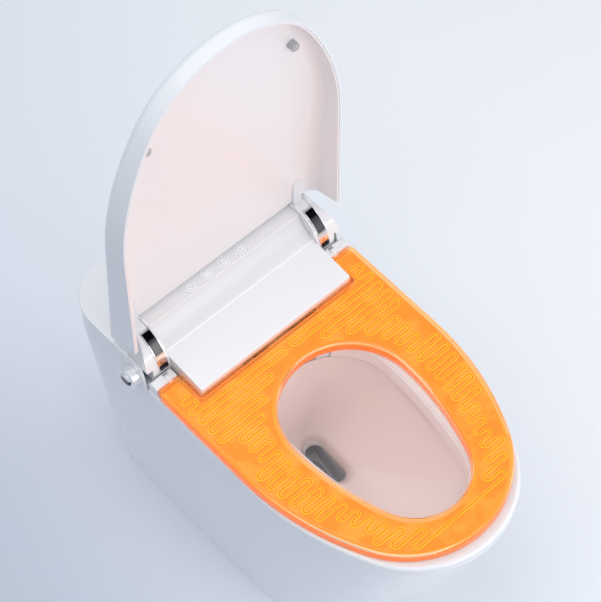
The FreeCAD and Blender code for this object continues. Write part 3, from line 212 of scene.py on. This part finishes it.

# ---------------------------------------------------------------- glazed face of the bowl
# The smooth glazed surface that water runs over, tinted pink by painted glow from the lit
# seat: an upright band under the rim, a small overhang, a dish in one curve and a lip into the well.
# Its sizes are in millimetres, and each ring of the profile is a share, inset and level.
millimetre = 0.001
rim_height, shelf_height, dish_foot, dish_bottom = 404, 372, 206, 202
well_half, well_rear, well_front, well_nose = 15.5, -45, 123, 0.93
bowl_half, bowl_rear, bowl_front, bowl_nose = 98, -10, 347, 0.78
rear_flare, front_flare = 0.6, 1.08
dish_share, dish_inset, dish_roundness, dish_pace = 0.985, 1.0, 1.5, 1.1
mouth_half, mouth_rear, mouth_floor = 56, -30, 371
rear_steps, side_steps, nose_steps, dish_rings = 20, 24, 20, 40
quarter_turn = 0.5 * math.pi


def bowl_ring(share, inset, level):
    """Points round the bowl from its rear, down the right side and back up the left.

    The share is 0 at the well and 1 at the rim, and the inset draws the ring inwards.
    """
    half = well_half + (bowl_half - well_half) * share - inset
    rear = well_rear + (bowl_rear - well_rear) * share ** rear_flare - inset
    front = -(well_front + (bowl_front - well_front) * share ** front_flare - inset)
    nose = half * (well_nose + (bowl_nose - well_nose) * share)
    shoulder = rear - half
    reach = shoulder - (front + nose)
    side_radius = (half * half + reach * reach - nose * nose) / (2 * (half - nose))
    side_angle = math.atan2(reach, side_radius - half)
    right = []
    for step in range(rear_steps):
        angle = quarter_turn * (1 - step / rear_steps)
        right.append((half * math.cos(angle), shoulder + half * math.sin(angle)))
    for step in range(side_steps):
        angle = side_angle * step / side_steps
        right.append((half - side_radius + side_radius * math.cos(angle),
                      shoulder - side_radius * math.sin(angle)))
    for step in range(nose_steps + 1):
        angle = side_angle + (quarter_turn - side_angle) * step / nose_steps
        right.append((nose * math.cos(angle), front + nose - nose * math.sin(angle)))
    left = [(-across, along) for across, along in reversed(right[1:-1])]
    return [Vector((across, along, level)) * millimetre for across, along in right + left]


band_drops = ((0.998, 0.4, 0.3), (0.996, 0.9, 0.5), (0.994, 1.6, 1.2), (0.992, 2.0, 2.4))
overhang_rises = ((0.988, 3.2, 5.5), (0.986, 3.3, 4.0), (0.985, 2.9, 3.0), (0.985, 2.0, 2.4),
                  (0.985, 1.3, 1.6))
lip_levels = ((0.86, 0.9, 204.3), (0.68, 0.8, 201.6), (0.5, 0.7, 198.3), (0.34, 0.6, 194.8),
              (0.2, 0.5, 191.6), (0.08, 0.4, 188.8), (0, 0.3, 185))
profile = [(share, inset, rim_height - drop) for share, inset, drop in band_drops]
profile += [(share, inset, shelf_height + rise) for share, inset, rise in overhang_rises]
for ring in range(dish_rings):
    level = shelf_height - (shelf_height - dish_foot) * (ring / (dish_rings - 1)) ** dish_pace
    fall = ((shelf_height - level) / (shelf_height - dish_bottom)) ** dish_roundness
    profile.append((dish_share * (1 - fall) ** (1 / dish_roundness), dish_inset, level))
foot_share = profile[-1][0]
profile += [(foot_share * share, inset, level) for share, inset, level in lip_levels]


def built(name, shape):
    """A piece of the scene from a shape made of single faces."""
    data = bpy.data.meshes.new(name)
    shape.to_mesh(data)
    shape.free()
    return placed(name, data)


lining = bmesh.new()
rings = [[lining.verts.new(place) for place in bowl_ring(*entry)] for entry in profile]
for upper, lower in zip(rings, rings[1:]):
    for index in range(len(upper)):
        corners = [upper[index - 1], upper[index], lower[index], lower[index - 1]]
        middle = sum((corner.co for corner in corners), Vector()) / len(corners) / millimetre
        in_mouth = middle.y > mouth_rear and abs(middle.x) < mouth_half and middle.z > mouth_floor
        if not in_mouth:
            lining.faces.new(corners).smooth = True
loose = [vertex for vertex in lining.verts if not vertex.link_faces]
bmesh.ops.delete(lining, geom=loose, context="VERTS")
lining.normal_update()
bowl_face = built("bowl_glaze", lining)
# Painted light: the glaze is tinted pink for the orange glow of the lit seat.
glaze_painted_seat_glow, shader = finished("white_glaze_painted_pink_glow", (30, 0.02, 0.001),
                              (0.90, 0.79, 0.76), (0.92, 0.82, 0.79), 0.16)
shader.inputs["Coat Weight"].default_value = 0.2
bowl_face.data.materials.append(glaze_painted_seat_glow)
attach(bowl_face, "toilet")


# ---------------------------------------------------------------- deck, cover and hinge housings
# Injection-moulded white plastic with a high gloss, clipped over the working parts.
# The cover is creased across; the crease carries a painted highlight line and the slope behind it is
# painted darker as shade.
def combined(tree, operation, first, second):
    """A sum worked out at each point; each side is a number or another node's output."""
    node = tree.nodes.new("ShaderNodeMath")
    node.operation = operation
    for socket, value in zip(node.inputs, (first, second)):
        if isinstance(value, (int, float)):
            socket.default_value = value
        else:
            tree.links.new(value, socket)
    return node.outputs[0]


def distance_from(tree, place, middle):
    """How far a coordinate lies from a middle, on either side of it."""
    return combined(tree, "ABSOLUTE", combined(tree, "SUBTRACT", place, middle), 0)


def stepped(tree, factor, start, end):
    """0 before start and 1 after end, with a smooth change between."""
    spread = tree.nodes.new("ShaderNodeMapRange")
    spread.interpolation_type = "SMOOTHSTEP"
    spread.inputs["From Min"].default_value = start
    spread.inputs["From Max"].default_value = end
    tree.links.new(factor, spread.inputs[0])
    return spread.outputs[0]


fold_y, fold_z, slope_end_y = 0.104, 0.4437, 0.138
fold_fade, slope_end_fade = 0.004, 0.002
cover_low, cover_high = fold_z - 0.0014, fold_z - 0.0008
crease_half, crease_fade_end = 0.0005, 0.0013
white, tree, shader = new_material("white_moulding_painted_crease_light")
drift = add_relief(tree, shader, 220, 0.025, 0.0004)
moulded = blended(tree, drift, (0.83, 0.825, 0.83), (0.86, 0.855, 0.86))
along = place_on(tree, "Y")
past_fold = stepped(tree, along, fold_y, fold_y + fold_fade)
past_slope = stepped(tree, along, slope_end_y - slope_end_fade, slope_end_y)
on_cover = stepped(tree, place_on(tree, "Z"), cover_low, cover_high)
# Painted shade on the slope behind the crease, and a painted highlight line along the crease.
slope_painted_shade = combined(tree, "MULTIPLY", combined(tree, "SUBTRACT", past_fold, past_slope), on_cover)
off_crease = stepped(tree, distance_from(tree, along, fold_y), crease_half, crease_fade_end)
crease_painted_highlight = combined(tree, "MULTIPLY", on_cover, combined(tree, "SUBTRACT", 1.0, off_crease))
shaded = blended(tree, slope_painted_shade, moulded, (0.755, 0.75, 0.755))
crease_highlighted = blended(tree, crease_painted_highlight, shaded, (0.96, 0.955, 0.96))
tree.links.new(crease_highlighted, shader.inputs["Base Color"])
shader.inputs["Roughness"].default_value = 0.24
paint(white, "rear_deck", "centre_cover", "hinge_housing_left", "hinge_housing_right",
      "side_panel_left", "side_panel_right", "seat_hinge_block_left", "seat_hinge_block_right")

# ---------------------------------------------------------------- lid
# Two white mouldings welded at the edge: a glossy shell outside and a satin liner
# inside, carried by an arm at each side on the hinge pins.
shell_white, shader = finished("lid_shell_white", (180, 0.02, 0.0004),
                               (0.80, 0.81, 0.83), (0.83, 0.84, 0.86), 0.2)
paint(shell_white, "lid_shell", "lid_hinge_arm_left", "lid_hinge_arm_right")

# The liner is white, with a faint pink tint that is painted glow from the lit seat.
liner_white_painted_glow, shader = finished("lid_liner_white_painted_glow", (260, 0.03, 0.0003),
                               (0.88, 0.84, 0.835), (0.90, 0.865, 0.86), 0.34)
paint(liner_white_painted_glow, "lid_liner")

# ---------------------------------------------------------------- rubber bumpers and outlet seal
# Grey moulded rubber: two bumpers pressed into the lid, four feet under the seat and
# the ring that seals the waste outlet on its pipe.
rubber, shader = finished("grey_rubber", (500, 0.2, 0.0005),
                          (0.44, 0.435, 0.44), (0.52, 0.515, 0.52), 0.6)
paint(rubber, "lid_bumpers", "seat_bumpers", "outlet_seal")
rounding = nodes["lid_bumpers"].modifiers.new("pressed_round", "SUBSURF")
rounding.levels = rounding.render_levels = 2

# ---------------------------------------------------------------- plated hinge strips
# Bent plated strips, whose face carries painted reflections in four tones one after another from
# the foot up: dark foot, pale pink, dark grey and black at the top, with painted highlights on the
# edges.
strip_low, strip_high = 0.428, 0.4825
strip_middle_x, strip_half, edge_highlight_width, edge_fade = 0.1575, 0.0085, 0.0012, 0.00048
dark_foot_reflection, black_top_reflection = (0.035, 0.037, 0.04), (0.004, 0.004, 0.004)
strip_painted_reflections = ((0.0, dark_foot_reflection), (0.20, dark_foot_reflection), (0.24, (0.72, 0.64, 0.62)),
               (0.50, (0.74, 0.66, 0.64)), (0.56, (0.09, 0.09, 0.092)),
               (0.85, (0.08, 0.08, 0.082)), (0.88, black_top_reflection), (1.0, black_top_reflection))
plate, tree, shader = new_material("plated_strip_painted_reflections")
drift = add_relief(tree, shader, 600, 0.01, 0.0002)
# Painted reflections: bands of tone up the strip's face, and a painted highlight along each edge.
painted_face_reflection = colour_steps(tree, place_on(tree, "Z"), strip_painted_reflections, strip_low, strip_high)
from_centre = distance_from(tree, place_on(tree, "X"), 0)
edge_start = strip_half - edge_highlight_width
edge_highlight_mask = stepped(tree, distance_from(tree, from_centre, strip_middle_x), edge_start,
                  edge_start + edge_fade)
painted_edge_highlight = blended(tree, drift, (0.88, 0.88, 0.9), (0.92, 0.92, 0.94))
tree.links.new(blended(tree, edge_highlight_mask, painted_face_reflection, painted_edge_highlight), shader.inputs["Base Color"])
shader.inputs["Metallic"].default_value = 1
shader.inputs["Roughness"].default_value = 0.22
paint(plate, "hinge_trim_left", "hinge_trim_right")

# ---------------------------------------------------------------- side knob
# Turned and plated metal: a bright ring that turns, and a push button in its middle
# whose face carries painted reflections in bands of copper, dark grey, black and pale grey, from
# below up.
ring_metal, shader = finished("knob_nickel", (600, 0.01, 0.0002),
                              (0.93, 0.935, 0.95), (0.96, 0.965, 0.98), 0.3)
shader.inputs["Metallic"].default_value = 0.8
paint(ring_metal, "knob_ring")

black_reflection_band = (0.006, 0.006, 0.006)
button_painted_reflections = ((0.0, (0.70, 0.33, 0.16)), (0.22, (0.62, 0.30, 0.15)), (0.28, (0.09, 0.09, 0.092)),
                (0.52, (0.08, 0.08, 0.082)), (0.56, black_reflection_band), (0.70, black_reflection_band),
                (0.74, (0.80, 0.78, 0.78)), (1.0, (0.86, 0.86, 0.88)))
button_low, button_high = (corner[2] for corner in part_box("knob_button"))
button_metal, tree, shader = new_material("button_nickel_painted_reflections")
add_relief(tree, shader, 600, 0.01, 0.0002)
# Painted reflections: tone bands up the button's face.
painted_button_bands = colour_steps(tree, place_on(tree, "Z"), button_painted_reflections, button_low, button_high)
tree.links.new(painted_button_bands, shader.inputs["Base Color"])
shader.inputs["Metallic"].default_value = 0.7
shader.inputs["Roughness"].default_value = 0.3
paint(button_metal, "knob_button")

# ---------------------------------------------------------------- seat cover
# A clear amber moulding that bends over at both edges. Its rounded edges carry thin
# yellow lines of painted highlight that glow, and its sides are more orange.
seat_top, seat_side_top = 0.428, 0.4205
top_fade, edge_glow_depth = 0.0008, 0.002
dark = (0, 0, 0)
painted_edge_glow_tones = ((0.0, dark), (0.35, (0.30, 0.06, 0.0)), (0.62, (1.0, 0.52, 0.05)),
              (0.8, (0.35, 0.09, 0.0)), (0.95, dark), (1.0, dark))
amber, tree, shader = new_material("clear_amber_cover")
drift = add_relief(tree, shader, 70, 0.02, 0.0008)
height = place_on(tree, "Z")
top_tint = blended(tree, drift, (1.0, 0.84, 0.60), (1.0, 0.88, 0.66))
side_tint = blended(tree, drift, (1.0, 0.66, 0.42), (1.0, 0.72, 0.48))
on_top = stepped(tree, height, seat_side_top, seat_top - top_fade)
tree.links.new(blended(tree, on_top, side_tint, top_tint), shader.inputs["Base Color"])
shader.inputs["Roughness"].default_value = 0.0
shader.inputs["Transmission Weight"].default_value = 1.0
shader.inputs["IOR"].default_value = 1.3
# Painted highlight: a glowing yellow line along the rounded edges.
painted_edge_glow = colour_steps(tree, height, painted_edge_glow_tones, seat_side_top - edge_glow_depth, seat_top)
tree.links.new(painted_edge_glow, shader.inputs["Emission Color"])
shader.inputs["Emission Strength"].default_value = 0.35
paint(amber, "seat_cover")

# ---------------------------------------------------------------- seat base and heater foil
# The base is an orange moulding welded under the cover, with white knuckles at the
# hinge pins; in front of them it glows with a painted orange light. The foil that backs the wire is
# orange and glows with it as painted light.
knuckle_line, knuckle_fade = 0.0712, 0.0006
base_orange, tree, shader = new_material("orange_base_painted_glow")
drift = add_relief(tree, shader, 40, 0.05, 0.001)
behind = stepped(tree, place_on(tree, "Y"), knuckle_line, knuckle_line + knuckle_fade)
orange = blended(tree, drift, (1.0, 0.33, 0.05), (1.0, 0.38, 0.07))
tree.links.new(blended(tree, behind, orange, (0.84, 0.83, 0.83)), shader.inputs["Base Color"])
# Painted glow: the base gives off orange light in front of the knuckles.
painted_base_glow = blended(tree, behind, (1.0, 0.30, 0.06), (0.0, 0.0, 0.0))
tree.links.new(painted_base_glow, shader.inputs["Emission Color"])
shader.inputs["Emission Strength"].default_value = 0.45
shader.inputs["Roughness"].default_value = 0.35
paint(base_orange, "seat_base")

patch_start, patch_end = 0.42, 0.62
foil_orange, tree, shader = new_material("orange_foil_painted_glow")
drift = add_relief(tree, shader, 26, 0.04, 0.0008)
patches = stepped(tree, drift, patch_start, patch_end)
foil_tint = blended(tree, patches, (0.90, 0.17, 0.015), (0.95, 0.27, 0.07))
# Painted glow: the foil gives off orange light.
painted_foil_glow = blended(tree, patches, (1.0, 0.15, 0.003), (1.0, 0.24, 0.04))
tree.links.new(foil_tint, shader.inputs["Base Color"])
tree.links.new(painted_foil_glow, shader.inputs["Emission Color"])
shader.inputs["Emission Strength"].default_value = 0.35
shader.inputs["Roughness"].default_value = 0.4
paint(foil_orange, "heater_foil")


# ---------------------------------------------------------------- heating wire
# One flattened round wire on the foil, laid in narrow turns across the seat. By the way its
# surface faces, its crown is painted dark gold as shade and its flanks glow bright yellow as painted
# light.
def strip_middle(node, top):
    """Points along the middle of a flat strip, from the corners of its upper face."""
    weld, upright_limit = 1e-6, 0.5
    strip = bmesh.new()
    strip.from_mesh(node.data)
    bmesh.ops.remove_doubles(strip, verts=strip.verts, dist=weld)
    crown = [vertex for vertex in strip.verts if vertex.co.z > top - 10 * weld]
    beside = {vertex: [] for vertex in crown}
    for edge in strip.edges:
        first, second = edge.verts
        upright = any(abs(face.normal.z) < upright_limit for face in edge.link_faces)
        if first in beside and second in beside and upright:
            beside[first].append(second)
            beside[second].append(first)
    outline = [crown[0], beside[crown[0]][0]]
    while len(outline) < len(crown):
        before, here = outline[-2:]
        outline.append(next(vertex for vertex in beside[here] if vertex is not before))
    sides = [(corner.co - outline[index - 1].co).length for index, corner in enumerate(outline)]
    end = sides.index(min(sides))
    outline = outline[end:] + outline[:end]
    pairs = zip(outline[:len(outline) // 2], reversed(outline))
    middle = [0.5 * (one_side.co + other_side.co) for one_side, other_side in pairs]
    strip.free()
    return middle


wire_radius, wire_flatness = 0.0019, 0.289
bend_start = 0.0008
wire_low, wire_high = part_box("heating_wire")
wire_line = strip_middle(nodes["heating_wire"], wire_high[2])
wire_path = [wire_line[0]]
for before, after in zip(wire_line, wire_line[1:]):
    run = after - before
    if run.length > 3 * bend_start:
        near_corner = run.normalized() * bend_start
        wire_path += [before + near_corner, after - near_corner]
    wire_path.append(after)
wire_curve = bpy.data.curves.new("wire_path", "CURVE")
wire_curve.dimensions = "3D"
wire_curve.resolution_u = 3
wire_curve.bevel_depth = wire_radius
wire_curve.bevel_resolution = 2
wire_curve.use_fill_caps = True
path = wire_curve.splines.new("NURBS")
path.points.add(len(wire_path) - 1)
for point, place in zip(path.points, wire_path):
    point.co = (place.x, place.y, 0, 1)
path.order_u = 3
path.use_endpoint_u = True
pattern = bpy.data.objects.new("wire_pattern", wire_curve)
wire_body = bpy.data.meshes.new_from_object(pattern)
bpy.data.objects.remove(pattern)
for vertex in wire_body.vertices:
    vertex.co.z = wire_low[2] + wire_radius * wire_flatness + vertex.co.z * wire_flatness
wire_body.shade_smooth()
wire = placed("round_heating_wire", wire_body)

crown_start, crown_full = 0.955, 0.985
wire_finish_painted_light, tree, shader = new_material("wire_painted_glow_and_shade")
drift = add_relief(tree, shader, 300, 0.05, 0.0003)
# Painted shade on the crown and painted glow on the flanks, by which way the surface faces.
on_crown = stepped(tree, place_on(tree, "Z", "Normal"), crown_start, crown_full)
crown_painted_shade = blended(tree, drift, (0.12, 0.025, 0.0), (0.16, 0.035, 0.0))
wire_painted_tint = blended(tree, on_crown, (1.0, 0.58, 0.03), crown_painted_shade)
painted_wire_glow = blended(tree, on_crown, (1.0, 0.55, 0.03), (0.26, 0.062, 0.0))
tree.links.new(wire_painted_tint, shader.inputs["Base Color"])
tree.links.new(painted_wire_glow, shader.inputs["Emission Color"])
shader.inputs["Specular IOR Level"].default_value = 0.1
shader.inputs["Emission Strength"].default_value = 0.5
shader.inputs["Roughness"].default_value = 0.35
wire_body.materials.append(wire_finish_painted_light)
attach(wire, "seat")
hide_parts("heating_wire")

# ---------------------------------------------------------------- touch keys
# Four printed keys under the clear lacquer of the band, each a white ring round a
# plain sign: a drying hour, a fan, a drop of water and a ring.
key_face, shader = finished("key_face", (300, 0.02, 0.0003),
                            (0.80, 0.805, 0.82), (0.83, 0.835, 0.85), 0.15)
paint(key_face, "touch_keys")

print_white_painted_glow, shader = finished("key_print_painted_glow", (800, 0.05, 0.0001),
                               (0.93, 0.93, 0.94), (0.96, 0.96, 0.97), 0.3)
# Painted glow: the print shines faintly so that it stands brighter than the band.
shader.inputs["Emission Color"].default_value = (1, 1, 1, 1)
shader.inputs["Emission Strength"].default_value = 0.2

key_radius, key_rise, ring_inset = 0.0108, 0.0012, 0.0012
print_half, print_flatness = 0.00055, 0.3
circle_points, petal_points = 36, 72
full_turn = 2 * math.pi


def circle(radius, share=1.0):
    """A line round a circle, or round a share of it: its points, and whether it closes."""
    closed = share == 1.0
    angles = [full_turn * share * index / circle_points
              for index in range(circle_points + (not closed))]
    return [(radius * math.cos(angle), radius * math.sin(angle)) for angle in angles], closed


def hour_sign():
    """A clock face, open at one side, with its two hands."""
    clock_radius, clock_share = 0.0048, 0.78
    upright_hand, level_hand = 0.0028, 0.0022
    hands = [(0, upright_hand), (0, 0), (level_hand, 0)]
    return [circle(clock_radius, clock_share), (hands, False)]


def fan_sign():
    """Four petals in one line."""
    petal_length, petal_fullness = 0.0062, 0.6
    petals = []
    for index in range(petal_points):
        angle = full_turn * index / petal_points
        reach = petal_length * abs(math.sin(2 * angle)) ** petal_fullness
        petals.append((reach * math.cos(angle), reach * math.sin(angle)))
    return [(petals, True)]


def drop_sign():
    """A drop with its point upwards."""
    drop_half_width, drop_half_height, drop_taper = 0.0038, 0.0055, 1.4
    drop = []
    for index in range(circle_points):
        angle = full_turn * index / circle_points
        across = drop_half_width * math.sin(angle) * math.sin(angle / 2) ** drop_taper
        drop.append((across, drop_half_height * math.cos(angle)))
    return [(drop, True)]


def ring_sign():
    """A small ring inside the key's own ring."""
    small_radius = 0.0036
    return [circle(small_radius)]


signs = (hour_sign, fan_sign, drop_sign, ring_sign)
keys_low, keys_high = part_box("touch_keys")
key_pitch = (keys_high[0] - keys_low[0] - 2 * key_radius) / (len(signs) - 1)
key_lean = math.asin((keys_high[2] - keys_low[2] - key_rise) / (2 * key_radius))
key_middle_y = 0.5 * (keys_low[1] + keys_high[1])
key_middle_z = keys_high[2] - key_radius * math.sin(key_lean)
for number, sign in enumerate(signs):
    line_data = bpy.data.curves.new(f"key_sign_{number + 1}", "CURVE")
    line_data.dimensions = "3D"
    line_data.bevel_depth = print_half
    line_data.bevel_resolution = 1
    for places, closed in [circle(key_radius - ring_inset)] + sign():
        line = line_data.splines.new("POLY")
        line.points.add(len(places) - 1)
        for point, (across_key, along_key) in zip(line.points, places):
            point.co = (across_key, along_key, 0, 1)
        line.use_cyclic_u = closed
    line_data.materials.append(print_white_painted_glow)
    mark = placed(f"key_sign_{number + 1}", line_data)
    mark.scale = (1, 1, print_flatness)
    mark.rotation_euler = (-key_lean, 0, 0)
    mark.location = (keys_low[0] + key_radius + number * key_pitch, key_middle_y, key_middle_z)
    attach(mark, "toilet")

# ---------------------------------------------------------------- seat clips
# Eight small moulded clips along the seat's edge in front of the cover, where the
# amber cover snaps over its base.
clip_places = (-0.114, -0.084, -0.053, -0.024, 0.007, 0.038, 0.067, 0.098)
clip_front, clip_rear, clip_half, clip_height = 0.0165, 0.0195, 0.0009, 0.0004
clip_rounding = 0.00025
clip_mesh = bmesh.new()
for place in clip_places:
    made = bmesh.ops.create_cube(clip_mesh, size=1)["verts"]
    clip_size = (2 * clip_half, clip_rear - clip_front, 2 * clip_height)
    clip_middle = (place, 0.5 * (clip_front + clip_rear), seat_top)
    bmesh.ops.scale(clip_mesh, verts=made, vec=clip_size)
    bmesh.ops.translate(clip_mesh, verts=made, vec=clip_middle)
bmesh.ops.bevel(clip_mesh, geom=clip_mesh.edges[:], offset=clip_rounding, segments=2, affect="EDGES")
clips = built("seat_clips", clip_mesh)
clip_orange, shader = finished("clip_orange", (600, 0.05, 0.0002),
                               (0.70, 0.16, 0.01), (0.80, 0.21, 0.02), 0.4)
clips.data.materials.append(clip_orange)
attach(clips, "seat")

# ---------------------------------------------------------------- washing nozzle and dryer flap
# The tip and the dryer's flap are the same glossy white plastic as the cover, the
# front shield has the colour of the bowl with its painted pink glow, and the wand is a drawn steel
# tube.
paint(glaze_painted_seat_glow, "nozzle_shield")
paint(white, "nozzle_tip", "dryer_flap")
steel, shader = finished("drawn_steel", (250, 0.05, 0.0003),
                         (0.52, 0.52, 0.54), (0.60, 0.60, 0.62), 0.25)
shader.inputs["Metallic"].default_value = 1
paint(steel, "nozzle_wand", "fan_motor")

# ---------------------------------------------------------------- working parts under the cover
# Moulded housings, ducts, tank, valve, dampers and circuit board, each in the plain
# colour of its own plastic, and a turned brass water inlet.
moulding_grain = (250, 0.1, 0.0005)
finishes = (
    ("grey_moulding", (0.28, 0.29, 0.31), (0.33, 0.34, 0.36), 0.45, 0,
     ("chassis", "nozzle_guide", "dryer_duct", "fan_case", "deodoriser_cartridge")),
    ("black_moulding", (0.02, 0.02, 0.022), (0.035, 0.035, 0.04), 0.4, 0,
     ("lid_damper_left", "lid_damper_right", "seat_damper_left", "seat_damper_right",
      "seat_thermostat", "knob_encoder", "fan_wheel", "flush_pump", "power_gland")),
    ("milky_tank", (0.60, 0.62, 0.64), (0.66, 0.68, 0.70), 0.35, 0, ("flush_tank",)),
    ("cream_moulding", (0.62, 0.58, 0.48), (0.68, 0.64, 0.54), 0.4, 0,
     ("water_heater", "solenoid_valve")),
    ("green_board", (0.02, 0.12, 0.05), (0.03, 0.16, 0.07), 0.35, 0, ("control_board",)),
    ("turned_brass", (0.50, 0.34, 0.12), (0.58, 0.40, 0.16), 0.3, 1, ("water_inlet",)),
)
for name, low, high, roughness, metal, parts in finishes:
    finish, shader = finished(name, moulding_grain, low, high, roughness)
    shader.inputs["Metallic"].default_value = metal
    paint(finish, *parts)
